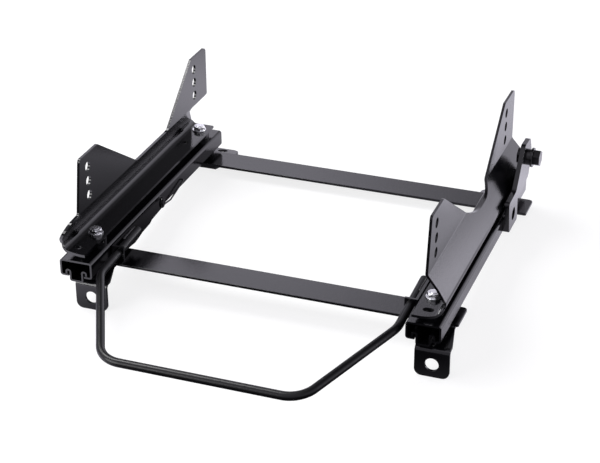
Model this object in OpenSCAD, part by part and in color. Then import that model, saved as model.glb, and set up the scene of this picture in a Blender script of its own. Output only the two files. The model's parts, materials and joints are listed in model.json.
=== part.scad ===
// Seat slide rail for a side-mounted bucket seat: two slide tracks on two flat cross bars,
// a folded side bracket on each track, a lift-bar release handle and a belt stay.
// Origin: centre of the seat's bolt pattern. +X to the belt stay's side, +Y to the rear, +Z up.

/* [Seat bolt pattern] */
// Distance from the front to the rear bolt holes
seat_pitch = 290; // [270:1:310]
// Height step between the three holes of one ear
hole_pitch = 17; // [15:0.5:19]
// Diameter of the seat bolt holes
seat_hole_d = 11.2; // [9:0.1:12]
// Clear width between the ears
seat_w = 389; // [370:1:410]

/* [Side brackets] */
// Thickness of the bracket sheet
sheet = 3; // [2.5:0.1:4]
// Top of the ears above the middle hole
ear_rise = 32.2; // [29:0.1:36]
// Fold line of the ears below the middle hole
bend_drop = 29.3; // [27:0.1:34]
// Upper face of the base flange below the middle hole
base_drop = 70.9; // [64:0.1:78]
// Lean of the wall from upright
lean = 28; // [22:1:32]
// How far the base flange reaches in past the ears
base_inset = 9.8; // [6:0.1:12]
// Inside radius of the folds
bend_r = 3.5; // [2.5:0.5:6]
// Inside radius of the fold between wall and base flange
base_bend_r = 5; // [3:0.5:7]
// Base flange ahead of the front holes
base_lead = 39.5; // [37:0.5:46]
// Base flange behind the rear holes
base_trail = 33; // [28:1:38]
// Start of the front ear's top edge ahead of its holes
front_ear_lead = 17.4; // [14:0.1:22]
// End of the front ear's top edge behind its holes
front_ear_trail = 25.7; // [20:0.1:32]
// Start of the rear ear's top edge ahead of its holes
rear_ear_lead = 7.5; // [6:0.1:14]
// End of the rear ear's top edge behind its holes
rear_ear_trail = 37.6; // [30:0.1:42]
// Foot of the front ear ahead of its holes
front_foot_lead = 27.3; // [22:0.1:32]
// Foot of the rear ear behind its holes
rear_foot_trail = 37.8; // [32:0.1:42]
// Valley between the ears at the fold, start behind the front holes
valley_start = 119.7; // [100:0.1:130]
// Valley between the ears at the fold, end ahead of the rear holes
valley_end = 81; // [72:0.1:100]
// Lowest edge of the left valley below the fold
left_valley_drop = 1.4; // [0.5:0.1:4]
// Radius of the left valley's corners
left_valley_r = 12; // [6:1:20]
// Lowest edge of the right valley below the fold
right_valley_drop = 12.5; // [8:0.1:16]
// Radius of the right valley's front corner
valley_front_r = 90; // [50:1:95]
// Radius of the right valley's rear corner
valley_rear_r = 40; // [30:1:60]
// Forward reach of the low wall's nose on the left bracket, from the front ear's foot
nose_reach = 29; // [20:1:36]
// Length of the rear ear that overhangs the wall on the left bracket
rear_overhang = 54; // [40:1:60]

/* [Slide tracks] */
// Distance of each track's middle outside the ear's inner face
track_offset = 3; // [2:0.5:5]
// Outer width of the upper rail
rail_w = 38.4; // [37:0.2:41]
// Height of the upper rail
upper_h = 20; // [19:0.2:23]
// Height of the whole track
track_h = 26; // [25:0.2:30]
// Sheet thickness of both rails
rail_t = 2.2; // [1.8:0.1:2.6]
// Outer width of the lower rail's channel
channel_w = 16.4; // [15:0.2:17.8]
// Rails ahead of the front seat holes
rail_lead = 38; // [35:1:46]
// Rails behind the rear seat holes
rail_trail = 43; // [38:1:50]
// Travel of the slide to each side
travel = 96; // [64:16:96]
// Spacing of the lock notches
notch_pitch = 16; // [16:1:18]

/* [Cross bars] */
// Width of the flat bars
bar_w = 38; // [32:1:44]
// Thickness of the flat bars
bar_t = 3.2; // [2.6:0.1:4.5]
// Overhang of the front bar past the tracks' middles
front_bar_over = 23.5; // [20:0.5:34]
// Overhang of the rear bar past the tracks' middles
rear_bar_over = 30.5; // [20:0.5:34]
// Middle of the front bar behind the front seat holes
front_bar_y = 34; // [28:1:40]
// Middle of the rear bar behind the rear seat holes
rear_bar_y = 17; // [12:1:22]

/* [Floor feet] */
// Thickness of the feet
foot_t = 3.2; // [2.6:0.1:4.5]
// Width of the front feet's tabs
tab_w = 38; // [34:1:42]
// Diameter of the front feet's holes
tab_hole_d = 15; // [11:0.5:16]
// Height of the front tabs below the bars
tab_h = 35; // [31:0.5:40]
// Shift of the left front tab towards +X from its track
left_tab_shift = 11.5; // [8:0.5:16]
// Shift of the right front tab towards +X from its track
right_tab_shift = 9; // [4:0.5:14]
// Front face of the left tab ahead of the front seat holes
left_tab_y = 28; // [22:1:34]
// Front face of the right tab ahead of the front seat holes
right_tab_y = 34; // [24:1:38]
// Diameter of the rear feet's holes
rear_hole_d = 12.6; // [10:0.2:14]
// Slope of the rear tabs down to the rear
rear_slope = 11; // [6:1:16]
// Length of the rear tabs
rear_tab_l = 24; // [22:1:40]
// Width of the rear tabs
rear_tab_w = 40; // [34:1:44]
// Shift of the rear tabs inwards from their tracks
rear_tab_shift = 17; // [12:0.5:20]

/* [Release handle] */
// Diameter of the rod
rod_d = 9.5; // [8:0.1:10]
// Forward reach of the handle from the front seat holes
handle_reach = 161.6; // [140:0.2:180]
// Half the length of the straight front run, corner to corner
handle_half = 109; // [95:0.5:120]
// Height of the front run below the middle hole
handle_drop = 115; // [108:0.2:118]
// Middle radius of the rod's bends
rod_bend_r = 32; // [18:1:36]

/* [Belt stay] */
// Thickness of the stay's plate
stay_t = 5.5; // [4:0.1:7]
// Front edge of the stay's pad ahead of the rear seat holes
stay_ahead = 70.5; // [64:0.5:76]
// Length of the stay's pad along the rail
pad_l = 38.5; // [34:0.5:44]
// Diameter of the hole in the pad
stay_hole_d = 15; // [11:0.2:17]
// Diameter of the belt bolt
belt_bolt_d = 11; // [10:0.1:12]

/* [Hidden] */
black = [0.06, 0.06, 0.07];
zinc = [0.75, 0.76, 0.78];
dark_plastic = [0.18, 0.18, 0.19];
$fn = 48;
eps = 0.01;
// Running gap between pieces that slide past each other
run_gap = 0.3;
// Radial gap of a pin in the piece that turns on it
pin_gap = 0.05;
// Steps of a rounded corner
arc_steps = 10;
// Length by which a rod's straight runs enter its bends
rod_lap = 0.2;
// How much thinner a rod's straight runs are drawn
rod_ease = 0.03;

// Stations along Y
front_y = -seat_pitch / 2;
rear_y = seat_pitch / 2;
rail_front = front_y - rail_lead;
rail_rear = rear_y + rail_trail;
rail_l = rail_rear - rail_front;
base_front = front_y - base_lead;
base_rear = rear_y + base_trail;

// Levels along Z
z_bend = -bend_drop;
z_base = -base_drop;
z_base_low = z_base - sheet;
spacer_h = 7.2;
z_rail_top = z_base_low - spacer_h;
z_track = z_rail_top - track_h;
z_lip = z_rail_top - upper_h;
z_bar_low = z_track - bar_t;
z_foot_low = z_bar_low - foot_t;

// Stations along X, right side
ear_in = seat_w / 2;
ear_out = ear_in + sheet;
track_x = ear_in + track_offset;
z_bend_in = z_bend - sheet * tan(lean / 2);
foot_out = ear_out + (z_bend - z_base_low) * tan(lean);
foot_in = ear_in + (z_bend_in - z_base) * tan(lean);
base_in = ear_in - base_inset;
// Outermost point of the fold between wall and base flange
bend_out = foot_out - (base_bend_r + sheet) * (1 / tan(45 - lean / 2) - 1);
rail_in = track_x - rail_w / 2;
rail_out = track_x + rail_w / 2;

// Fixings of the base flange to the upper rail
stud_d = 8;
stud_inset = 1;
stud_x = track_x - stud_inset;
left_stud_behind = 12;
right_stud_behind = 2;
rear_stud_behind = 15;
spacer_d = 23.6;
washer_d = 17;
washer_t = 1.6;
nut_af = 13;
nut_h = 4.5;
nut_crown = 0.71 * nut_af;
nut_face = 0.475 * nut_af;
stud_tip = 0.6;
slot_ahead = 25;
slot_w = 8;
slot_l = 12;
slot_x = track_x + 1;
flange_hole_d = 7;
flange_corner_r = 22;
flange_sweep_r = 71;
// Length of the bracket's section beyond the seat holes, before its outline is cut
bracket_over = 100;
// How far the rear ear's foot lies below the fold
rear_foot_low = 1.6;

// Lower rail hooks and the space between the rails
hook_out = rail_w / 2 - rail_t - 4;
hook_top = track_h - 11.5;
lip_in = channel_w / 2 + 1.2;
lip_top = track_h - upper_h + rail_t;
hook_low = lip_top + 0.6;
web_low = track_h - rail_t;

// Lock comb on the lever and its notches
tooth_count = 3;
tooth_w = 6;
tooth_t = 3;
tooth_side_gap = 0.9;
tooth_seat = 0.6;
tooth_z = hook_top - 0.2 - tooth_t;
lever_t = 3;
lever_gap = 1.2;
lever_out = rail_in - lever_gap;
lever_in = lever_out - lever_t;
pivot_behind = 140;
pivot_y = front_y + pivot_behind;
pivot_z = z_track + 17;
pivot_d = 8;
pivot_head_d = 13;
pivot_head_t = 1.6;
clip_t = 1.2;
comb_ahead = 40;
first_tooth = pivot_y - comb_ahead;
last_tooth = first_tooth - (tooth_count - 1) * notch_pitch;
lift_room = 9;
lever_front = front_y + 10;
lever_top = z_rail_top - 1.5;
lever_neck = 16;
lever_toe = 14;
lever_brow = 8;
lobe_lead = 10;
lobe_run = 4;
flange_w = 14.5;
flange_low = z_track + 7;
rod_slack = 0.3;
tail_l = 10;
tail_low = pivot_z - 6.4;
comb_low = z_track + 3;

// Handle rod stations, right side
rod_x = lever_in - 0.15 - rod_d / 2;
rod_end_behind = 62;
rod_end_y = front_y + rod_end_behind;
rod_end_z = pivot_z + 3.4;
rod_knee_ahead = 35.2;
rod_knee_y = front_y - rod_knee_ahead;
rod_knee_z = pivot_z - 2.6;
rod_rise = atan2(rod_end_z - rod_knee_z, rod_end_y - rod_knee_y);

// Travel stops in the lower rail and the lug of the upper rail
lug_l = 8;
lug_w = 5;
stop_d = 8;
stop_h = 9;
lug_low = 7;
stop_reach = travel + lug_l / 2 + stop_d / 2 + 0.5;

// Glide shoes
glide_l = 26;
glide_front = -39;
glide_rear = 63;

// Wire springs of the lock
spring_d = 2;
spring_r = 2;
spring_l = 62;
spring_gap = 0.1;

// Rear feet
rear_fold_y = rear_y + rear_bar_y + bar_w / 2 + 2;
rear_hole_run = 13;

// Belt stay stations: the plate clears the bracket's fold and stands on a thin pad on the rail
stay_clear = 2.6;
pad_t = 1;
stay_in = max(bend_out + stay_clear, rail_out + pad_t);
stay_face = stay_in + stay_t;
belt_y = rear_y;
belt_z = z_bend - 4.7;
stay_front = rear_y - stay_ahead;
stay_rear = stay_front + pad_l;
stay_low = z_lip + 1.5;
pad_top = z_base_low + 1;
shoulder_z = pad_top + 13;
arm_ahead = 44;
arm_drop = 32;
stay_head_up = 17.5;
stay_head_fore = 8;
stay_head_aft = 18;
stay_head_out = 28;
pad_lean = 6.5;
stay_hole_y = stay_front + 18;
stay_hole_z = z_rail_top - 1.9;
collar_d = 19;
collar_l = 6;
belt_washer_d = 23;
belt_washer_t = 2.6;
belt_head_af = 17;
belt_head_h = 8;
belt_nut_af = 17;
belt_nut_h = 4.5;
belt_tail = 0.5;

// Corner points of an outline, each [x, y] or [x, y, radius], with its round corners as arcs
function corner(p, a, b) = let (
        r = len(p) > 2 ? p[2] : 0,
        c = [p[0], p[1]],
        u = ([a[0], a[1]] - c) / norm([a[0], a[1]] - c),
        v = ([b[0], b[1]] - c) / norm([b[0], b[1]] - c),
        h = acos(max(-1, min(1, u * v))) / 2,
        m = c + (u + v) / norm(u + v) * r / sin(h),
        s = c + u * r / tan(h) - m,
        e = c + v * r / tan(h) - m,
        a0 = atan2(s[1], s[0]),
        da = (atan2(e[1], e[0]) - a0 + 540) % 360 - 180)
    r == 0 ? [c] : [for (i = [0 : arc_steps]) let (w = a0 + da * i / arc_steps) m + r * [cos(w), sin(w)]];
function rounded(pts) = let (n = len(pts))
    [for (i = [0 : n - 1]) each corner(pts[i], pts[(i + n - 1) % n], pts[(i + 1) % n])];

// The right side is drawn, and the left side is its mirror image
module on_side(side) {
    mirror([side < 0 ? 1 : 0, 0, 0]) children();
}

// A profile drawn in X and Z, run along Y
module along_y(y0, length) {
    translate([0, y0 + length, 0]) rotate([90, 0, 0]) linear_extrude(length) children();
}

// An outline drawn in Y and Z, run along X
module along_x(x0, length) {
    translate([x0, 0, 0]) rotate([90, 0, 90]) linear_extrude(length) children();
}

// A round bar along X
module bar_x(x0, length, d, y, z) {
    translate([x0, y, z]) rotate([0, 90, 0]) cylinder(d = d, h = length);
}

// A hexagon along X or Z, by its size across flats
module hex(af, h) {
    cylinder(d = af / cos(30), h = h, $fn = 6);
}

// Side bracket: one folded sheet

module bracket_section() {
    polygon(rounded([
        [ear_in, ear_rise], [ear_out, ear_rise],
        [ear_out, z_bend, bend_r], [foot_out, z_base_low, base_bend_r + sheet],
        [base_in, z_base_low], [base_in, z_base],
        [foot_in, z_base, base_bend_r], [ear_in, z_bend_in, bend_r + sheet]]));
}

// Studs of one side, front and rear
function stud_y(side) =
    [front_y + (side < 0 ? left_stud_behind : right_stud_behind), rear_y + rear_stud_behind];

// Both ears and the valley between them, from the front foot to the rear foot
function ear_outline(side) = let (
        ear_h = ear_rise + bend_drop,
        drop = side < 0 ? left_valley_drop : right_valley_drop,
        front_r = side < 0 ? left_valley_r : valley_front_r,
        rear_r = side < 0 ? left_valley_r : valley_rear_r,
        front_run = (valley_start - front_ear_trail) / ear_h,
        rear_run = (valley_end - rear_ear_lead) / ear_h,
        valley_front = front_y + valley_start + drop * front_run,
        valley_rear = rear_y - valley_end - drop * rear_run,
        turns = front_r * tan(45 - atan(front_run) / 2) + rear_r * tan(45 - atan(rear_run) / 2),
        ease = min(1, 0.95 * (valley_rear - valley_front) / turns))
    [[front_y - front_foot_lead, z_bend, 3],
    [front_y - front_ear_lead, ear_rise, 4],
    [front_y + front_ear_trail, ear_rise, 5],
    [valley_front, z_bend - drop, ease * front_r],
    [valley_rear, z_bend - drop, ease * rear_r],
    [rear_y - rear_ear_lead, ear_rise, 3],
    [rear_y + rear_ear_trail, ear_rise, 6],
    [rear_y + rear_foot_trail, z_bend - rear_foot_low, 3]];

// Edge of the low wall and the base flange, from the rear foot round to the front foot
function low_edge(side) = let (
        wall_h = base_drop - bend_drop,
        step = z_base + 3,
        under = z_base_low - 5,
        cut_y = rear_y + rear_foot_trail - rear_overhang,
        nose_y = front_y - front_foot_lead - nose_reach)
    side < 0 ? [
        [cut_y, z_bend - rear_foot_low, 3],
        [cut_y + 0.68 * rear_overhang, z_bend - 0.7 * wall_h, 12],
        [base_rear, step, 3],
        [base_rear, under], [base_front, under],
        [base_front, z_base + 0.5],
        [front_y - front_foot_lead, z_base + 2.5, 3],
        [nose_y + 0.6 * nose_reach, z_bend - 0.74 * wall_h, 9],
        [nose_y, z_bend - 0.35 * wall_h, 10],
        [nose_y + 0.4 * nose_reach, z_bend - 0.06 * wall_h, 9]]
    : [
        [rear_y + rear_foot_trail + 11, z_bend - 0.5 * wall_h, 9],
        [base_rear + 4, step, 4],
        [base_rear, step - 1, 1],
        [base_rear, under], [base_front, under],
        [base_front, step],
        [front_y - 19, step, 3],
        [front_y - 21, z_bend - 0.45 * wall_h, 12]];

module side_bracket(side) {
    color(black) on_side(side) difference() {
        intersection() {
            along_y(front_y - bracket_over, seat_pitch + 2 * bracket_over) bracket_section();
            along_x(base_in - 5, foot_out - base_in + 10)
                polygon(rounded(concat(ear_outline(side), low_edge(side))));
        }
        for (y = [front_y, rear_y], k = [-1 : 1])
            bar_x(ear_in - 1, sheet + 2, seat_hole_d, y, k * hole_pitch);
        for (y = stud_y(side))
            translate([stud_x, y, z_base_low - 1]) cylinder(d = stud_d + 1, h = sheet + 2);
        for (y = [front_y, rear_y])
            translate([slot_x, y - slot_ahead, z_base_low - 1])
                if (side < 0) cylinder(d = flange_hole_d, h = sheet + 2);
                else slot_hole(sheet + 2);
        if (side < 0) flange_corner(base_in, flange_sweep_r);
        else flange_corner(bend_out + 0.5 - flange_corner_r, flange_corner_r);
    }
}

module slot_hole(h) {
    for (side = [-1, 1])
        translate([side * (slot_l - slot_w) / 2, 0, 0]) cylinder(d = slot_w, h = h);
    translate([-(slot_l - slot_w) / 2, -slot_w / 2, 0]) cube([slot_l - slot_w, slot_w, h]);
}

// Cuts the flange's front edge round, by an arc that starts at x
module flange_corner(x, r) {
    reach = bend_out + 1 - x;
    back = r - sqrt(max(0, r * r - reach * reach));
    h = sheet + 5;
    translate([0, 0, z_base_low - 1]) difference() {
        translate([x, base_front - 30, 0]) cube([reach, back + 30, h]);
        translate([x, base_front + r, -1]) cylinder(r = r, h = h + 2, $fn = 144);
    }
}

// Fixings between the brackets and the upper rails

module at_studs() {
    for (side = [-1, 1], y = stud_y(side))
        on_side(side) translate([stud_x, y, 0]) children();
}

module bracket_spacers() {
    color(black) at_studs() translate([0, 0, z_rail_top]) difference() {
        cylinder(d = spacer_d, h = spacer_h, $fn = 72);
        translate([0, 0, -1]) cylinder(d = stud_d + 0.4, h = spacer_h + 2);
    }
}

module bracket_studs() {
    color(zinc) at_studs() translate([0, 0, z_rail_top - rail_t])
        cylinder(d = stud_d, h = rail_t + spacer_h + sheet + washer_t + nut_h + stud_tip);
}

module bracket_washers() {
    color(zinc) at_studs() translate([0, 0, z_base]) difference() {
        cylinder(d = washer_d, h = washer_t, $fn = 72);
        translate([0, 0, -1]) cylinder(d = stud_d + 0.4, h = washer_t + 2);
    }
}

module bracket_nuts() {
    color(zinc) at_studs() translate([0, 0, z_base + washer_t]) difference() {
        intersection() {
            hex(nut_af, nut_h);
            translate([0, 0, nut_h - sqrt(nut_crown * nut_crown - nut_face * nut_face)])
                sphere(r = nut_crown, $fn = 64);
        }
        translate([0, 0, -1]) cylinder(d = stud_d + 0.1, h = nut_h + 2);
    }
}

// Slide tracks: an upper rail that hooks round a lower rail

module upper_section() {
    w = rail_w / 2;
    ro = rail_t + 1.2;
    ri = 1.2;
    translate([track_x, z_lip]) polygon(rounded([
        [-lip_in, 0], [-w, 0, ro], [-w, upper_h, ro], [w, upper_h, ro], [w, 0, ro], [lip_in, 0],
        [lip_in, rail_t], [w - rail_t, rail_t, ri], [w - rail_t, upper_h - rail_t, ri],
        [rail_t - w, upper_h - rail_t, ri], [rail_t - w, rail_t, ri], [-lip_in, rail_t]]));
}

module lower_section() {
    b = channel_w / 2;
    ro = rail_t + 0.8;
    ri = 0.8;
    t = rail_t;
    translate([track_x, z_track]) polygon(rounded([
        [-b, 0, ro], [b, 0, ro], [b, hook_top - t, ri], [hook_out - t, hook_top - t, ri],
        [hook_out - t, hook_low], [hook_out, hook_low], [hook_out, hook_top, ro],
        [b - t, hook_top, ro], [b - t, t, ri], [t - b, t, ri], [t - b, hook_top, ro],
        [-hook_out, hook_top, ro], [-hook_out, hook_low], [t - hook_out, hook_low],
        [t - hook_out, hook_top - t, ri], [-b, hook_top - t, ri]]));
}

module upper_rail(side) {
    window_l = (tooth_count - 1) * notch_pitch + tooth_w + 6;
    color(black) on_side(side) {
        difference() {
            along_y(rail_front, rail_l) upper_section();
            // Window for the lock comb
            translate([rail_in - 1, last_tooth - tooth_w / 2 - 3, z_track + tooth_z - 0.8])
                cube([rail_t + 2, window_l, tooth_t + lift_room]);
            bar_x(rail_in - 1, rail_t + 2, pivot_d + 0.1, pivot_y, pivot_z);
            for (y = stud_y(side))
                translate([stud_x, y, z_rail_top - rail_t - 1]) cylinder(d = stud_d + 0.1, h = rail_t + 2);
        }
        // Lug that meets the travel stops
        translate([track_x - lug_w / 2, -lug_l / 2, z_track + lug_low])
            cube([lug_w, lug_l, web_low - lug_low + eps]);
    }
}

module lower_rail(side) {
    notches = floor((2 * travel) / notch_pitch) + tooth_count;
    start = last_tooth - floor(travel / notch_pitch) * notch_pitch;
    notch_w = tooth_w + 2 * tooth_side_gap;
    depth = rail_t + 1.4;
    color(black) on_side(side) difference() {
        along_y(rail_front, rail_l) lower_section();
        // Notches for the lock comb in the inner hook
        for (i = [0 : notches - 1])
            translate([track_x - hook_out - 1, start + i * notch_pitch - notch_w / 2,
                    z_track + tooth_z - tooth_seat])
                cube([depth + 1, notch_w, tooth_t + 3]);
        for (s = [-1, 1])
            translate([track_x, s * stop_reach, z_track - 1]) cylinder(d = stop_d - 3 + 0.1, h = rail_t + 2);
    }
}

module travel_stops() {
    color(zinc) for (side = [-1, 1], s = [-1, 1])
        on_side(side) translate([track_x, s * stop_reach, z_track]) {
            cylinder(d = stop_d - 3, h = rail_t + 1);
            translate([0, 0, rail_t]) cylinder(d = stop_d, h = stop_h);
        }
}

// Moulded shoes between the rails: they sit in the upper rail and ride on the hooks
module glides(side) {
    side_x = rail_w / 2 - rail_t - run_gap / 2;
    inner_x = channel_w / 2 - rail_t;
    top = web_low - run_gap / 2;
    color(dark_plastic) on_side(side) for (y = [glide_front, glide_rear], s = [-1, 1])
        along_y(y, glide_l) translate([track_x, z_track]) mirror([s < 0 ? 1 : 0, 0])
            polygon(rounded([
                [hook_out + run_gap, lip_top + run_gap], [side_x, lip_top + run_gap, 1.4],
                [side_x, top, 1.4], [inner_x, top], [inner_x, hook_top + run_gap],
                [hook_out + run_gap, hook_top + run_gap]]));
}

// Flat bars that carry both tracks

module crossbar(y, over) {
    reach = track_x + over;
    color(black) translate([0, y, z_bar_low]) linear_extrude(bar_t) polygon(rounded([
        [-reach, -bar_w / 2, 2], [reach, -bar_w / 2, 2],
        [reach, bar_w / 2, 5], [-reach, bar_w / 2, 5]]));
}

// Feet: folded plates under the bars

module front_foot(side, shift, tab_y) {
    plate_half = tab_w / 2 + 1;
    mid = side * track_x + shift;
    back = front_y + front_bar_y + bar_w / 2;
    front = front_y - tab_y;
    fold = bend_r + foot_t;
    hole_z = z_bar_low - tab_h + 15;
    knee = front_y + front_bar_y - bar_w / 2;
    color(black) difference() {
        intersection() {
            // Folded section: flat under the bar, then down at the front
            along_x(side * track_x - tab_w, 2 * tab_w) polygon(rounded([
                [back, z_bar_low], [front, z_bar_low, fold],
                [front, z_bar_low - tab_h], [front + foot_t, z_bar_low - tab_h],
                [front + foot_t, z_foot_low, bend_r], [back, z_foot_low]]));
            union() {
                // Plan: centred under the track at the bar, shifted at the tab
                translate([0, 0, z_foot_low - fold]) linear_extrude(fold + foot_t + 1) polygon([
                    [side * track_x - plate_half, back + 1], [side * track_x - plate_half, knee],
                    [mid - tab_w / 2, front + fold + 4], [mid - tab_w / 2, front - 1],
                    [mid + tab_w / 2, front - 1], [mid + tab_w / 2, front + fold + 4],
                    [side * track_x + plate_half, knee], [side * track_x + plate_half, back + 1]]);
                along_y(front - 1, fold + 2) polygon(rounded([
                    [mid - tab_w / 2, z_bar_low + 1], [mid + tab_w / 2, z_bar_low + 1],
                    [mid + tab_w / 2, z_bar_low - tab_h, 8], [mid - tab_w / 2, z_bar_low - tab_h, 8]]));
            }
        }
        translate([mid, front - 1, hole_z]) rotate([-90, 0, 0])
            cylinder(d = tab_hole_d, h = foot_t + 2, $fn = 72);
    }
}

// Rear foot: flat under the rear bar, then sloping down to the rear
module rear_foot(side) {
    front = rear_y + rear_bar_y - bar_w / 2;
    mid = track_x - rear_tab_shift;
    half = rear_tab_w / 2;
    end_y = rear_fold_y + rear_tab_l * cos(rear_slope);
    tip = [end_y + 5, z_bar_low - (end_y + 5 - rear_fold_y) * tan(rear_slope)];
    under = tip - foot_t * [sin(rear_slope), cos(rear_slope)];
    color(black) on_side(side) difference() {
        intersection() {
            // Folded section: flat under the bar, then sloping
            along_x(mid - rear_tab_w, 2 * rear_tab_w) polygon(rounded([
                [front, z_bar_low], [rear_fold_y, z_bar_low, bend_r + foot_t], tip, under,
                [rear_fold_y - foot_t * tan(rear_slope / 2), z_foot_low, bend_r], [front, z_foot_low]]));
            // Plan: under the track at the bar, shifted in at the tab
            translate([0, 0, z_foot_low - rear_tab_l]) linear_extrude(2 * rear_tab_l) polygon(rounded([
                [mid - half + 8, front], [mid + half + 8, front, 3], [mid + half + 8, front + 20, 6],
                [mid + half, rear_fold_y, 4], [mid + half, end_y, 10], [mid - half, end_y, 10],
                [mid - half, front + 20, 6]]));
        }
        rear_tab_frame(mid) translate([0, rear_hole_run, -foot_t - 2])
            cylinder(d = rear_hole_d, h = foot_t + 4, $fn = 72);
    }
}

module rear_tab_frame(mid) {
    translate([mid, rear_fold_y, z_bar_low]) rotate([-rear_slope, 0, 0]) children();
}

// Belt stay on the right track's outer side

module belt_stay() {
    outline = rounded([
        [stay_front, stay_low, 3], [stay_front - pad_lean, shoulder_z, 5],
        [belt_y - arm_ahead, shoulder_z + 1, 8],
        [belt_y - stay_head_fore, belt_z + stay_head_up, 8],
        [belt_y + stay_head_aft, belt_z + stay_head_up - 1, 8],
        [belt_y + stay_head_out, belt_z - 6, 12],
        [belt_y + stay_head_aft, belt_z - arm_drop, 8],
        [belt_y - 12, pad_top + 1, 6], [stay_rear - 2.5, pad_top, 1], [stay_rear, stay_low, 3]]);
    color(black) difference() {
        union() {
            along_x(stay_in, stay_t) polygon(outline);
            along_x(rail_out, stay_in - rail_out + eps) intersection() {
                polygon(outline);
                translate([stay_front - pad_lean, stay_low])
                    square([pad_l + pad_lean, z_rail_top - stay_low - 1]);
            }
        }
        bar_x(stay_in - 1, stay_t + 2, belt_bolt_d + 0.2, belt_y, belt_z);
        bar_x(rail_out - 1, stay_face - rail_out + 2, stay_hole_d, stay_hole_y, stay_hole_z);
    }
}

module belt_collar() {
    color(black) difference() {
        bar_x(stay_face, collar_l, collar_d, belt_y, belt_z);
        bar_x(stay_face - 1, collar_l + 2, belt_bolt_d + 0.2, belt_y, belt_z);
    }
}

module belt_washer() {
    color(black) difference() {
        bar_x(stay_face + collar_l, belt_washer_t, belt_washer_d, belt_y, belt_z);
        bar_x(stay_face + collar_l - 1, belt_washer_t + 2, belt_bolt_d + 0.2, belt_y, belt_z);
    }
}

module belt_bolt() {
    head_x = stay_face + collar_l + belt_washer_t;
    tail = stay_t + collar_l + belt_washer_t + belt_nut_h + belt_tail;
    color(black) {
        bar_x(head_x - tail, tail + 1, belt_bolt_d, belt_y, belt_z);
        translate([head_x, belt_y, belt_z]) rotate([0, 90, 0]) hex(belt_head_af, belt_head_h);
    }
}

module belt_nut() {
    color(black) difference() {
        translate([stay_in - belt_nut_h, belt_y, belt_z]) rotate([0, 90, 0])
            hex(belt_nut_af, belt_nut_h);
        bar_x(stay_in - belt_nut_h - 1, belt_nut_h + 2, belt_bolt_d + 0.1, belt_y, belt_z);
    }
}

// Lock: comb lever, its pivot and its wire spring

module lock_lever(side) {
    color(black) on_side(side) difference() {
        union() {
            along_x(lever_in, lever_t) polygon(rounded([
                [lever_front, flange_low], [lever_front, lever_top],
                [pivot_y - lever_neck, lever_top, 8], [pivot_y + lever_brow, pivot_z + 5, 5],
                [pivot_y + tail_l, pivot_z - 3, 2.5], [pivot_y, tail_low, 4],
                [first_tooth + lobe_lead, tail_low - 2, 3], [first_tooth + lobe_run, tail_low - 4.4, 2],
                [last_tooth + notch_pitch, tail_low - 5.2, 2], [last_tooth + lobe_run, comb_low, 2],
                [last_tooth - lobe_run, comb_low - 1, 3], [last_tooth - lever_toe, comb_low, 6]]));
            // Flange at the front that reaches in over the rod, with an open notch for it
            difference() {
                translate([lever_out - flange_w, lever_front, flange_low])
                    cube([flange_w - lever_t + eps, lever_t, lever_top - flange_low]);
                rod_notch();
            }
            for (i = [0 : tooth_count - 1])
                translate([lever_in, first_tooth - i * notch_pitch - tooth_w / 2, z_track + tooth_z])
                    cube([track_x - hook_out + rail_t + 0.4 - lever_in, tooth_w, tooth_t]);
        }
        bar_x(lever_in - 1, lever_t + 2, pivot_d + 2 * pin_gap, pivot_y, pivot_z);
    }
}

// Room for the rod's straight run, open at the bottom
module rod_notch() {
    w = rod_d + 2 * rod_slack;
    translate([rod_x, rod_knee_y, rod_knee_z]) rotate([rod_rise, 0, 0])
        along_y(0, rod_end_y - rod_knee_y) {
            circle(d = w);
            translate([-w / 2, -track_h]) square([w, track_h]);
        }
}

module lock_pivots() {
    color(black) for (side = [-1, 1]) on_side(side) {
        bar_x(lever_in - clip_t - 1.2, rail_in + rail_t - lever_in + clip_t + 1.2, pivot_d, pivot_y, pivot_z);
        bar_x(lever_out + 0.15, rail_in - lever_out - 0.15, pivot_head_d, pivot_y, pivot_z);
    }
}

module pivot_clips() {
    color(black) for (side = [-1, 1]) on_side(side) difference() {
        bar_x(lever_in - 0.15 - clip_t, clip_t, pivot_head_d, pivot_y, pivot_z);
        bar_x(lever_in - 2 - clip_t, clip_t + 3, pivot_d + 0.1, pivot_y, pivot_z);
        translate([lever_in - 2 - clip_t, pivot_y, pivot_z - 1.2]) cube([clip_t + 3, pivot_head_d, 2.4]);
    }
}

// A wire or rod through corner points, with its bends as arcs
module rod(pts, d, r) {
    n = len(pts);
    function bend(i) = let (
            u = (pts[i - 1] - pts[i]) / norm(pts[i - 1] - pts[i]),
            v = (pts[i + 1] - pts[i]) / norm(pts[i + 1] - pts[i]),
            h = acos(u * v) / 2)
        [u, v, h, r / tan(h)];
    for (i = [0 : n - 2]) {
        way = (pts[i + 1] - pts[i]) / norm(pts[i + 1] - pts[i]);
        p0 = i == 0 ? pts[0] : pts[i] + way * (bend(i)[3] - rod_lap);
        p1 = i == n - 2 ? pts[n - 1] : pts[i + 1] - way * (bend(i + 1)[3] - rod_lap);
        straight(p0, p1, d - rod_ease);
    }
    for (i = [1 : n - 2]) {
        b = bend(i);
        centre = pts[i] + (b[0] + b[1]) / norm(b[0] + b[1]) * r / sin(b[2]);
        e1 = (pts[i] + b[0] * b[3] - centre) / r;
        e2 = -b[0];
        e3 = cross(e1, e2);
        multmatrix([[e1[0], e2[0], e3[0], centre[0]], [e1[1], e2[1], e3[1], centre[1]],
                [e1[2], e2[2], e3[2], centre[2]], [0, 0, 0, 1]])
            rotate_extrude(angle = 180 - 2 * b[2], $fn = 96) translate([r, 0]) circle(d = d, $fn = 32);
    }
}

module straight(p0, p1, d) {
    v = p1 - p0;
    l = norm(v);
    translate(p0) rotate([0, acos(v[2] / l), atan2(v[1], v[0])]) cylinder(d = d, h = l, $fn = 32);
}

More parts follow.
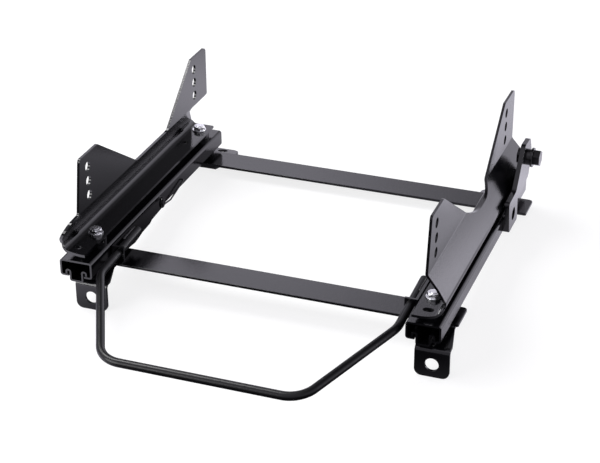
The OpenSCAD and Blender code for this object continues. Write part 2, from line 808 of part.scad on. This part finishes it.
module lock_spring(side) {
    x = lever_out - lever_t / 2;
    start = pivot_y + 4;
    // The tail's lower edge rises behind the pivot
    edge = tail_low + (start - pivot_y) * (pivot_z - 3 - tail_low) / tail_l;
    z = edge - spring_gap - spring_d / 2;
    color(black) on_side(side) rod([
        [x, start, z], [x, start + 0.37 * spring_l, z - 3], [x, start + spring_l, z + 5],
        [rail_in, start + spring_l + 0.5, z + 5]], spring_d, spring_r);
}

module release_handle() {
    knee = [rod_x, rod_knee_y, rod_knee_z];
    end = [rod_x, rod_end_y, rod_end_z];
    corner = [handle_half, front_y - handle_reach, -handle_drop];
    function flip(p) = [-p[0], p[1], p[2]];
    color(black) rod([flip(end), flip(knee), flip(corner), corner, knee, end], rod_d, rod_bend_r);
}

lower_rail(-1);  // left_lower_rail
lower_rail(1);  // right_lower_rail
crossbar(front_y + front_bar_y, front_bar_over);  // front_crossbar
crossbar(rear_y + rear_bar_y, rear_bar_over);  // rear_crossbar
front_foot(-1, left_tab_shift, left_tab_y);  // left_front_foot
front_foot(1, right_tab_shift, right_tab_y);  // right_front_foot
rear_foot(-1);  // left_rear_foot
rear_foot(1);  // right_rear_foot
travel_stops();
upper_rail(-1);  // left_upper_rail
upper_rail(1);  // right_upper_rail
glides(-1);  // left_glides
glides(1);  // right_glides
side_bracket(-1);  // left_side_bracket
side_bracket(1);  // right_side_bracket
bracket_spacers();
bracket_studs();
bracket_washers();
bracket_nuts();
belt_stay();
belt_bolt();
belt_collar();
belt_washer();
belt_nut();
lock_pivots();
pivot_clips();
lock_spring(-1);  // left_lock_spring
lock_spring(1);  // right_lock_spring
release_handle();
lock_lever(-1);  // left_lock_lever
lock_lever(1);  // right_lock_lever
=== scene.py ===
# %% [markdown]
# # Seat slide rail
# Two folded side brackets ride on two slide tracks. Flat bars join the tracks, and a bent rod at the front
# lets go of the lock on both sides. The solids come from CAD and are already in place. This lesson gives them
# soft edges, paint, plating and welds, and sets up a bright studio round them. They could be modelled again
# in Blender, but then the sizes would have two sources, so the CAD meshes are dressed instead.

# %% Load the solids
import json
import math

import bmesh
import bpy
from mathutils import Euler, Matrix, Vector


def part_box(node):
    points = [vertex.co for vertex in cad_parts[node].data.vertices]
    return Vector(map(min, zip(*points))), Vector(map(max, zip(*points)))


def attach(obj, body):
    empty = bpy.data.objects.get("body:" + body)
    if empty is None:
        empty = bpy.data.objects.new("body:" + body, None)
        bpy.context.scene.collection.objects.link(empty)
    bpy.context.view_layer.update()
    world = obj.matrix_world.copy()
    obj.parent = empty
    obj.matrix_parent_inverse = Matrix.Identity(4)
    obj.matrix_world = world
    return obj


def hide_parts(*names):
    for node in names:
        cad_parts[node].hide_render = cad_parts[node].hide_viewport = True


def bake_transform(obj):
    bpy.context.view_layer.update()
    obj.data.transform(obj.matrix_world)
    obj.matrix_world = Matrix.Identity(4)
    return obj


MM = 0.001
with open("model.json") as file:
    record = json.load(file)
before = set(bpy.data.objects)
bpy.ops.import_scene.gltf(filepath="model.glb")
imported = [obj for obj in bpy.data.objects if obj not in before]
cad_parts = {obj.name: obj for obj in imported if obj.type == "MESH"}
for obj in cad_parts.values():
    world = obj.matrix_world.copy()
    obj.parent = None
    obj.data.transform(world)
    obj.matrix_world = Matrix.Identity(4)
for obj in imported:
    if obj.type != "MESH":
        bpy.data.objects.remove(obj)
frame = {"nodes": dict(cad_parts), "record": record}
NODES = frame["nodes"]
BODY_OF = {node: body for body, nodes in frame["record"]["behaviour"]["bodies"].items() for node in nodes}
SLOT_OF = {part["node"]: part["material_slot"] for part in frame["record"]["subparts"]}
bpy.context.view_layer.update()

# %% [markdown]
# ## Camera
# The photograph was taken with a long lens from the front and a little to the right. A camera could be nudged
# into place by eye, but its place was found by lining up the bolt holes of the ears. So it is set by that
# place and three angles, and the lens by its focal length in pixels of the photograph.

# %% Camera
PHOTO_WIDTH = 600
FOCAL_PIXELS = 1696.6
SENSOR_MM = 36.0
NEAREST_SEEN = 0.05
CAMERA_PLACE = Vector((0.5923, -1.6195, 0.8113))
AZIMUTH = 20.199
ELEVATION = 27.863
ROLL = -0.23


def aim_camera():
    lens = bpy.data.cameras.new("photo_camera")
    lens.sensor_fit = "HORIZONTAL"
    lens.sensor_width = SENSOR_MM
    lens.lens = FOCAL_PIXELS / PHOTO_WIDTH * SENSOR_MM
    lens.clip_start = NEAREST_SEEN
    camera = bpy.data.objects.new("photo_camera", lens)
    bpy.context.scene.collection.objects.link(camera)
    turn = Euler((math.radians(90 - ELEVATION), 0, math.radians(AZIMUTH))).to_matrix().to_4x4()
    roll = Matrix.Rotation(math.radians(ROLL), 4, "Z")
    camera.matrix_world = Matrix.Translation(CAMERA_PLACE) @ turn @ roll
    bpy.context.scene.camera = camera
    return camera


camera = aim_camera()
print("lens:", round(camera.data.lens, 1), "mm")

# %% [markdown]
# ## Studio floor
# The rail stands on its two front tabs and on the ends of its two rear tabs, which are not level. The rail
# could be turned to stand on a level floor, but its frame is shared with CAD, so the floor is tilted instead.

# %% Place of the floor
FLOOR_SIZE = 9.0
front_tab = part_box("left_front_foot")[0]
rear_tab_low, rear_tab_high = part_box("left_rear_foot")
FLOOR_FRONT = Vector((0, front_tab.y, front_tab.z))
FLOOR_REAR = Vector((0, rear_tab_high.y, rear_tab_low.z))
floor_tilt = math.atan2(FLOOR_REAR.z - FLOOR_FRONT.z, FLOOR_REAR.y - FLOOR_FRONT.y)
print("floor tilt:", round(math.degrees(floor_tilt), 2), "degrees")

# %% [markdown]
# Dark gloss paint shows little but what it reflects, so the surroundings draw its shapes. The photograph's
# floor is white, but the paint mirrors a darker studio: light behind and to the right, dim in front. One white
# material would make every side wall white too. So the floor is white to the camera, and to every other ray it
# glows graded, with painted light on it: a few soft painted pools of light, and painted shade under and beside
# the rail.

# %% White and graded floor
FLOOR_GLOW = 0.79
FLOOR_PAINT = 0.26
MIRRORED_MIDDLE = 0.25
MIRRORED_SLOPE = (1.35, 1.6, 0)
MIRRORED_RANGE = (0.05, 1.25)
STUDIO_WHITE = (0.91, 0.885, 1.0, 1)
# Painted pools of light, or painted shadows where the gain is negative: place, reach and gain
PAINTED_POOLS_AND_SHADOWS = (
    ((-0.30, -0.30, -0.145), 0.24, 2.4),
    ((0.57, 0.31, -0.10), 0.31, 2.0),
    ((-0.11, 0.34, -0.10), 0.24, 0.9),
    ((0.14, 0.37, -0.11), 0.11, -0.7),
    ((0.25, -0.06, -0.14), 0.12, 0.25),
    ((0.27, 0.23, -0.11), 0.10, 0.6),
    ((0.17, -0.02, -0.135), 0.06, -0.35),
    ((0.20, -0.22, -0.145), 0.06, -0.12),
)


def add_spot(tree, light, place, measure, middle, limits):
    span = tree.nodes.new("ShaderNodeVectorMath")
    span.operation = measure
    span.inputs[1].default_value = middle
    spot = tree.nodes.new("ShaderNodeMapRange")
    spot.interpolation_type = "SMOOTHSTEP"
    for limit, value in limits.items():
        spot.inputs[limit].default_value = value
    total = tree.nodes.new("ShaderNodeMath")
    total.operation = "ADD"
    tree.links.new(place, span.inputs[0])
    tree.links.new(span.outputs["Value"], spot.inputs["Value"])
    tree.links.new(light, total.inputs[0])
    tree.links.new(spot.outputs["Result"], total.inputs[1])
    return total.outputs["Value"]


def white_floor(tree):
    paint = tree.nodes.new("ShaderNodeBsdfDiffuse")
    paint.inputs["Color"].default_value = (FLOOR_PAINT, FLOOR_PAINT, FLOOR_PAINT, 1)
    glow = tree.nodes.new("ShaderNodeEmission")
    glow.inputs["Strength"].default_value = FLOOR_GLOW
    both = tree.nodes.new("ShaderNodeAddShader")
    tree.links.new(paint.outputs["BSDF"], both.inputs[0])
    tree.links.new(glow.outputs["Emission"], both.inputs[1])
    return both.outputs["Shader"]


def graded_floor(tree):
    place = tree.nodes.new("ShaderNodeTexCoord").outputs["Object"]
    slope = tree.nodes.new("ShaderNodeVectorMath")
    slope.operation = "DOT_PRODUCT"
    slope.inputs[1].default_value = MIRRORED_SLOPE
    shade = tree.nodes.new("ShaderNodeMath")
    shade.operation = "ADD"
    shade.inputs[1].default_value = MIRRORED_MIDDLE
    held = tree.nodes.new("ShaderNodeClamp")
    held.inputs["Min"].default_value, held.inputs["Max"].default_value = MIRRORED_RANGE
    tree.links.new(place, slope.inputs[0])
    tree.links.new(slope.outputs["Value"], shade.inputs[0])
    tree.links.new(shade.outputs["Value"], held.inputs["Value"])
    light = held.outputs["Result"]
    # The painted pools of light and painted shadows are added to the glow that reflections see
    for middle, reach, gain in PAINTED_POOLS_AND_SHADOWS:
        light = add_spot(tree, light, place, "DISTANCE", middle,
                         {"From Max": reach, "To Min": gain, "To Max": 0})
    mirrored = tree.nodes.new("ShaderNodeEmission")
    mirrored.inputs["Color"].default_value = STUDIO_WHITE
    tree.links.new(light, mirrored.inputs["Strength"])
    return mirrored.outputs["Emission"]


print("patches on the floor:", len(PAINTED_POOLS_AND_SHADOWS))

# %% Lay the floor


def mix_for_camera(tree, out_kind, others_see, camera_sees):
    path = tree.nodes.new("ShaderNodeLightPath")
    mix = tree.nodes.new("ShaderNodeMixShader")
    out = tree.nodes.new(out_kind)
    tree.links.new(path.outputs["Is Camera Ray"], mix.inputs["Fac"])
    tree.links.new(others_see, mix.inputs[1])
    tree.links.new(camera_sees, mix.inputs[2])
    tree.links.new(mix.outputs["Shader"], out.inputs["Surface"])


def floor_finish():
    material = bpy.data.materials.new("floor_white")
    material.use_nodes = True
    tree = material.node_tree
    tree.nodes.clear()
    mix_for_camera(tree, "ShaderNodeOutputMaterial", graded_floor(tree), white_floor(tree))
    return material


def studio_floor():
    half = FLOOR_SIZE / 2
    mesh = bpy.data.meshes.new("floor")
    corners = [(-half, -half, 0), (half, -half, 0), (half, half, 0), (-half, half, 0)]
    place = Matrix.Translation(FLOOR_FRONT) @ Matrix.Rotation(floor_tilt, 4, "X")
    mesh.from_pydata([place @ Vector(corner) for corner in corners], [], [(0, 1, 2, 3)])
    floor = bpy.data.objects.new("floor", mesh)
    bpy.context.scene.collection.objects.link(floor)
    mesh.materials.append(floor_finish())


studio_floor()
print("floor:", FLOOR_SIZE, "m square")

# %% [markdown]
# ## Studio light
# Lamps alone would leave most of the paint black, because it mirrors what lies between them. So the world is
# lightest low behind the rail, and a few broad panels stand round it, so that no side goes quite black. A photo
# of a studio could light the scene too, but a few named panels are easier to move and need no file.

# %% Studio world
BRIGHT_WAY = (0.45, 0.85, -0.30)
BRIGHT_FROM, BRIGHT_FULL = 0.25, 0.98
DIM, BRIGHT = 0.08, 1.7
BACKDROP_WHITE = (1, 1, 1, 1)
# Bright panels round the rail: the way to the middle, the cosine at the edge, and the gain
PANELS = (
    ((-0.38, 0.78, 0.497), 0.975, 1.35),
    ((-0.10, -0.36, 0.928), 0.80, 0.6),
    ((0.10, -0.96, 0.26), 0.30, 0.5),
    ((-0.96, -0.10, 0.26), 0.60, 0.7),
    ((0.98, -0.10, 0.16), 0.60, 0.6),
)


def studio_world():
    world = bpy.data.worlds.new("studio")
    world.use_nodes = True
    tree = world.node_tree
    tree.nodes.clear()
    way_out = tree.nodes.new("ShaderNodeTexCoord").outputs["Generated"]
    along = tree.nodes.new("ShaderNodeVectorMath")
    along.operation = "DOT_PRODUCT"
    along.inputs[1].default_value = BRIGHT_WAY
    ramp = tree.nodes.new("ShaderNodeMapRange")
    ramp.interpolation_type = "SMOOTHSTEP"
    ramp.inputs["From Min"].default_value = BRIGHT_FROM
    ramp.inputs["From Max"].default_value = BRIGHT_FULL
    ramp.inputs["To Min"].default_value = DIM
    ramp.inputs["To Max"].default_value = BRIGHT
    tree.links.new(way_out, along.inputs[0])
    tree.links.new(along.outputs["Value"], ramp.inputs["Value"])
    light = ramp.outputs["Result"]
    for way, edge, gain in PANELS:
        light = add_spot(tree, light, way_out, "DOT_PRODUCT", way, {"From Min": edge, "To Max": gain})
    around = tree.nodes.new("ShaderNodeBackground")
    around.inputs["Color"].default_value = STUDIO_WHITE
    tree.links.new(light, around.inputs["Strength"])
    backdrop = tree.nodes.new("ShaderNodeBackground")
    backdrop.inputs["Color"].default_value = BACKDROP_WHITE
    mix_for_camera(tree, "ShaderNodeOutputWorld", around.outputs["Background"], backdrop.outputs["Background"])
    bpy.context.scene.world = world


studio_world()
print("panels round the rail:", len(PANELS))

# %% [markdown]
# Three soft boxes add the soft shadows on the floor and the highlights on edges, rod and plated nuts. Small
# lamps would do it with hard shadows, which the photograph doesn't have, so each is a broad area light.

# %% Soft boxes
# Place, the point it is turned to, width and height, and watts
SOFT_BOXES = {
    "top_light": ((-1.3, 0.1, 2.1), (0, 0, -0.1), (1.2, 1.2), 46),
    "front_light": ((-1.5, -1.9, 0.55), (0, 0, -0.05), (1.4, 1.3), 30),
    "right_light": ((2.1, 1.1, 0.18), (0.1, 0, -0.05), (1.4, 0.6), 34),
}


def soft_box(name, place, target, size, watts):
    lamp = bpy.data.lights.new(name, "AREA")
    lamp.shape = "RECTANGLE"
    lamp.size, lamp.size_y = size
    lamp.energy = watts
    box = bpy.data.objects.new(name, lamp)
    box.location = place
    box.rotation_euler = (Vector(target) - Vector(place)).to_track_quat("-Z", "Y").to_euler()
    bpy.context.scene.collection.objects.link(box)


for name, settings in SOFT_BOXES.items():
    soft_box(name, *settings)
bpy.context.scene.view_settings.view_transform = "Standard"
bpy.context.scene.view_settings.look = "None"
print("soft boxes:", ", ".join(SOFT_BOXES))

# %% [markdown]
# ## Shared effects
# Powder coat is never quite flat: it has a fine orange peel, and its gloss changes a little from place to place.
# A picture of paint could give that, but it needs a flat map of every piece. Noise on Object coordinates needs
# none, so one node group makes both effects, and each finish places it with its own scale.

# %% Orange peel group
PEEL_INPUTS = {"Grain": 900, "Patch": 18, "Dull": 0.4, "Shiny": 0.3}
PEEL_OUTPUTS = ("Height", "Roughness", "Patches")
PEEL_DETAIL = 2
PATCH_DETAIL = 4
PATCH_RANGE = (0.35, 0.65)


def orange_peel_group():
    group = bpy.data.node_groups.new("orange_peel", "ShaderNodeTree")
    socket = group.interface.new_socket
    for name, value in PEEL_INPUTS.items():
        socket(name, in_out="INPUT", socket_type="NodeSocketFloat").default_value = value
    for name in PEEL_OUTPUTS:
        socket(name, in_out="OUTPUT", socket_type="NodeSocketFloat")
    new = group.nodes.new
    link = group.links.new
    given = new("NodeGroupInput")
    made = new("NodeGroupOutput")
    place = new("ShaderNodeTexCoord")
    peel = new("ShaderNodeTexNoise")
    peel.inputs["Detail"].default_value = PEEL_DETAIL
    patches = new("ShaderNodeTexNoise")
    patches.inputs["Detail"].default_value = PATCH_DETAIL
    gloss = new("ShaderNodeMapRange")
    gloss.inputs["From Min"].default_value, gloss.inputs["From Max"].default_value = PATCH_RANGE
    for noise, scale in ((peel, "Grain"), (patches, "Patch")):
        link(place.outputs["Object"], noise.inputs["Vector"])
        link(given.outputs[scale], noise.inputs["Scale"])
    link(patches.outputs["Fac"], gloss.inputs["Value"])
    link(given.outputs["Shiny"], gloss.inputs["To Min"])
    link(given.outputs["Dull"], gloss.inputs["To Max"])
    link(peel.outputs["Fac"], made.inputs["Height"])
    link(gloss.outputs["Result"], made.inputs["Roughness"])
    link(patches.outputs["Fac"], made.inputs["Patches"])
    return group


ORANGE_PEEL = orange_peel_group()
print("orange peel inputs:", ", ".join(PEEL_INPUTS))

# %% [markdown]
# ## Finishes
# Nearly everything is glossy black powder coat, and the rod's coat is duller. The studs, nuts and washers are
# bright zinc, slightly clouded, and the shoes between the rails are plain dark plastic. Each could be a
# material of its own making, but they differ only in their numbers, so one function makes them all.

# %% A finish
RELIEF_DEPTH = 0.1 * MM


def finish(name, dark, light, metallic, grain, patch, gloss, bump):
    material = bpy.data.materials.new(name)
    material.use_nodes = True
    tree = material.node_tree
    shader = tree.nodes["Principled BSDF"]
    shader.inputs["Metallic"].default_value = metallic
    peel = tree.nodes.new("ShaderNodeGroup")
    peel.node_tree = ORANGE_PEEL
    peel.inputs["Grain"].default_value = grain
    peel.inputs["Patch"].default_value = patch
    peel.inputs["Shiny"].default_value, peel.inputs["Dull"].default_value = gloss
    tone = tree.nodes.new("ShaderNodeMix")
    tone.data_type = "RGBA"
    tone.inputs["A"].default_value = (*dark, 1)
    tone.inputs["B"].default_value = (*light, 1)
    relief = tree.nodes.new("ShaderNodeBump")
    relief.inputs["Strength"].default_value = bump
    relief.inputs["Distance"].default_value = RELIEF_DEPTH
    link = tree.links.new
    link(peel.outputs["Patches"], tone.inputs["Factor"])
    link(tone.outputs["Result"], shader.inputs["Base Color"])
    link(peel.outputs["Roughness"], shader.inputs["Roughness"])
    link(peel.outputs["Height"], relief.inputs["Height"])
    link(relief.outputs["Normal"], shader.inputs["Normal"])
    return material


# %% The finishes
ROD_SPECULAR = 0.36
FINISHES = {
    "black_paint": finish("black_powder_coat", dark=(0.0014, 0.0014, 0.0018), light=(0.0028, 0.0028, 0.0036),
                          metallic=0.0, grain=750, patch=16, gloss=(0.08, 0.12), bump=0.9),
    "zinc_plate": finish("bright_zinc", dark=(0.76, 0.77, 0.79), light=(0.90, 0.90, 0.91),
                         metallic=1.0, grain=1500, patch=160, gloss=(0.18, 0.34), bump=0.15),
    "glide_plastic": finish("moulded_plastic", dark=(0.020, 0.020, 0.021), light=(0.030, 0.030, 0.032),
                            metallic=0.0, grain=1800, patch=60, gloss=(0.50, 0.62), bump=0.3),
}
ROD_PAINT = finish("satin_rod_coat", dark=(0.0020, 0.0020, 0.0024), light=(0.0036, 0.0036, 0.0042),
                   metallic=0.0, grain=900, patch=16, gloss=(0.26, 0.36), bump=0.3)
ROD_PAINT.node_tree.nodes["Principled BSDF"].inputs["Specular IOR Level"].default_value = ROD_SPECULAR
print("finishes:", sorted(FINISHES), "and", ROD_PAINT.name)

# %% [markdown]
# ## Soft edges
# Cut sheet and bent rod have no knife edges: paint gathers on them and they catch a thin line of light. A shader
# can fake that, but the exported mesh would lose it. So each solid is copied, its loose triangles are merged
# into plain faces, and a narrow Bevel modifier rounds what is sharp.

# %% Soften a mesh
MERGE_GAP = 0.002 * MM
FLAT_ANGLE = math.radians(0.5)
SHARP_ANGLE = math.radians(32)
BEVEL_STEPS = 2
FLAT_WEIGHT = 100
# Edge widths in millimetres
USUAL_EDGE = 0.35
EDGE_WIDTH = {
    "left_side_bracket": 0.8, "right_side_bracket": 0.8, "belt_stay": 0.6,
    "front_crossbar": 0.6, "rear_crossbar": 0.6,
    "bracket_nuts": 0.25, "bracket_washers": 0.2, "bracket_studs": 0.4,
    "pivot_clips": 0.15, "left_lock_spring": 0.2, "right_lock_spring": 0.2,
}


def plain_faces(node):
    mesh = NODES[node].data.copy()
    mesh.materials.clear()
    work = bmesh.new()
    work.from_mesh(mesh)
    bmesh.ops.remove_doubles(work, verts=work.verts, dist=MERGE_GAP)
    bmesh.ops.dissolve_limit(work, angle_limit=FLAT_ANGLE, verts=work.verts, edges=work.edges)
    for face in work.faces:
        face.smooth = True
    work.to_mesh(mesh)
    work.free()
    return mesh


def round_edges(piece, width):
    bevel = piece.modifiers.new("soft_edge", "BEVEL")
    bevel.width = width * MM
    bevel.segments = BEVEL_STEPS
    bevel.limit_method = "ANGLE"
    bevel.angle_limit = SHARP_ANGLE
    flat = piece.modifiers.new("flat_faces", "WEIGHTED_NORMAL")
    flat.mode = "FACE_AREA"
    flat.weight = FLAT_WEIGHT
    flat.keep_sharp = True


print("pieces with an edge of their own:", len(EDGE_WIDTH))

# %% [markdown]
# Most pieces ride whole on their body. On the rail, the wire springs follow the lever at their free end and bend
# from there to the end that the rail holds. They could be squashed along their height, but that lifts the free
# end while the lever presses it down. Here they are fixed where they stand and ride on no body.

# %% Finish every solid
SPRINGS = ("left_lock_spring", "right_lock_spring")


def soften(node):
    mesh = plain_faces(node)
    piece = bpy.data.objects.new(node + "_finished", mesh)
    bpy.context.scene.collection.objects.link(piece)
    mesh.materials.append(ROD_PAINT if node == "release_handle" else FINISHES[SLOT_OF[node]])
    round_edges(piece, EDGE_WIDTH.get(node, USUAL_EDGE))
    if node in SPRINGS:
        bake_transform(piece)
    else:
        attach(piece, BODY_OF[node])
    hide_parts(node)


for node in sorted(NODES):
    soften(node)
print("softened pieces:", len(NODES))

# %% [markdown]
# ## Welds
# Short welds hold the bars on the rails, the feet on the bars and the rod on the lock levers. A weld is a row of
# small overlapping drops that follows a seam. Drops could be placed one by one, but a seam drawn as an edge is
# easier to change, and Geometry Nodes lay the drops along it, a little uneven in size.

# %% Weld bead tree
DROP_SUBDIVISIONS = 2
DROP_SMALLEST = (0.85, 0.85, 0.85)
DROP_LARGEST = (1.15, 1.15, 1.05)
DROP_SEED = 4


def weld_group():
    group = bpy.data.node_groups.new("weld_bead", "GeometryNodeTree")
    socket = group.interface.new_socket
    socket("Seams", in_out="INPUT", socket_type="NodeSocketGeometry")
    socket("Radius", in_out="INPUT", socket_type="NodeSocketFloat")
    socket("Spacing", in_out="INPUT", socket_type="NodeSocketFloat")
    socket("Finish", in_out="INPUT", socket_type="NodeSocketMaterial")
    socket("Beads", in_out="OUTPUT", socket_type="NodeSocketGeometry")
    new = group.nodes.new
    link = group.links.new
    given = new("NodeGroupInput")
    made = new("NodeGroupOutput")
    path = new("GeometryNodeMeshToCurve")
    steps = new("GeometryNodeResampleCurve")
    steps.mode = "LENGTH"
    drop = new("GeometryNodeMeshIcoSphere")
    drop.inputs["Subdivisions"].default_value = DROP_SUBDIVISIONS
    uneven = new("FunctionNodeRandomValue")
    uneven.data_type = "FLOAT_VECTOR"
    uneven.inputs["Min"].default_value = DROP_SMALLEST
    uneven.inputs["Max"].default_value = DROP_LARGEST
    uneven.inputs["Seed"].default_value = DROP_SEED
    row = new("GeometryNodeInstanceOnPoints")
    real = new("GeometryNodeRealizeInstances")
    smooth = new("GeometryNodeSetShadeSmooth")
    painted = new("GeometryNodeSetMaterial")
    link(given.outputs["Seams"], path.inputs["Mesh"])
    link(path.outputs["Curve"], steps.inputs["Curve"])
    link(given.outputs["Spacing"], steps.inputs["Length"])
    link(given.outputs["Radius"], drop.inputs["Radius"])
    link(steps.outputs["Curve"], row.inputs["Points"])
    link(drop.outputs["Mesh"], row.inputs["Instance"])
    link(uneven.outputs["Value"], row.inputs["Scale"])
    link(row.outputs["Instances"], real.inputs["Geometry"])
    link(real.outputs["Geometry"], smooth.inputs["Geometry"])
    link(smooth.outputs["Geometry"], painted.inputs["Geometry"])
    link(given.outputs["Finish"], painted.inputs["Material"])
    link(painted.outputs["Geometry"], made.inputs["Beads"])
    return group


WELD_BEAD = weld_group()
print("weld bead nodes:", len(WELD_BEAD.nodes))

# %% [markdown]
# Every body gets one mesh of welds, because the handle and the rails move apart. The seams are in millimetres in
# the CAD frame. The tree's result is made a plain mesh, since the export drops what is only instanced.

# %% Lay a weld


def draw_seams(name, seams):
    mesh = bpy.data.meshes.new(name + "_seams")
    points = [Vector(point) * MM for seam in seams for point in seam]
    mesh.from_pydata(points, [(i, i + 1) for i in range(0, len(points), 2)], [])
    drawn = bpy.data.objects.new(name + "_seams", mesh)
    bpy.context.scene.collection.objects.link(drawn)
    return drawn


def weld(name, body, seams, radius, spacing):
    drawn = draw_seams(name, seams)
    beads = drawn.modifiers.new("beads", "NODES")
    beads.node_group = WELD_BEAD
    values = {"Radius": radius * MM, "Spacing": spacing * MM, "Finish": FINISHES["black_paint"]}
    for item in WELD_BEAD.interface.items_tree:
        if item.name in values:
            beads[item.identifier] = values[item.name]
    seen = drawn.evaluated_get(bpy.context.evaluated_depsgraph_get())
    laid = bpy.data.meshes.new_from_object(seen)
    laid.name = name
    drawn.modifiers.clear()
    bpy.data.meshes.remove(drawn.data)
    piece = bpy.data.objects.new(name, laid)
    bpy.context.scene.collection.objects.link(piece)
    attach(piece, body)
    print(name, "faces:", len(laid.polygons))


# %% Welds of the base
TRACK_X = 197.5
CHANNEL_HALF = 8.2
BAR_TOP = -107.1
BAR_ENDS = ((-128, -94), (145, 179))
FOOT_HALF = 17
FOOT_SEAM_Z = -109.9
FOOT_SEAMS_Y = (-130.4, 181.4)
BASE_DROP, BASE_STEP = 2.0, 1.5

base_seams = []
for side in (-1, 1):
    for wall in (-CHANNEL_HALF, CHANNEL_HALF):
        x = side * (TRACK_X + wall)
        base_seams += [((x, start, BAR_TOP), (x, end, BAR_TOP)) for start, end in BAR_ENDS]
    inner, outer = side * (TRACK_X - FOOT_HALF), side * (TRACK_X + FOOT_HALF)
    base_seams += [((inner, y, FOOT_SEAM_Z), (outer, y, FOOT_SEAM_Z)) for y in FOOT_SEAMS_Y]
weld("base_welds", "base", base_seams, BASE_DROP, BASE_STEP)

# %% Welds of the handle
ROD_SIDE = 172.9
ROD_SEAM = ((-112, -84.2), (-86, -83.4))
HANDLE_DROP, HANDLE_STEP = 1.6, 1.2

handle_seams = [[(side * ROD_SIDE, *end) for end in ROD_SEAM] for side in (-1, 1)]
weld("handle_welds", "handle", handle_seams, HANDLE_DROP, HANDLE_STEP)
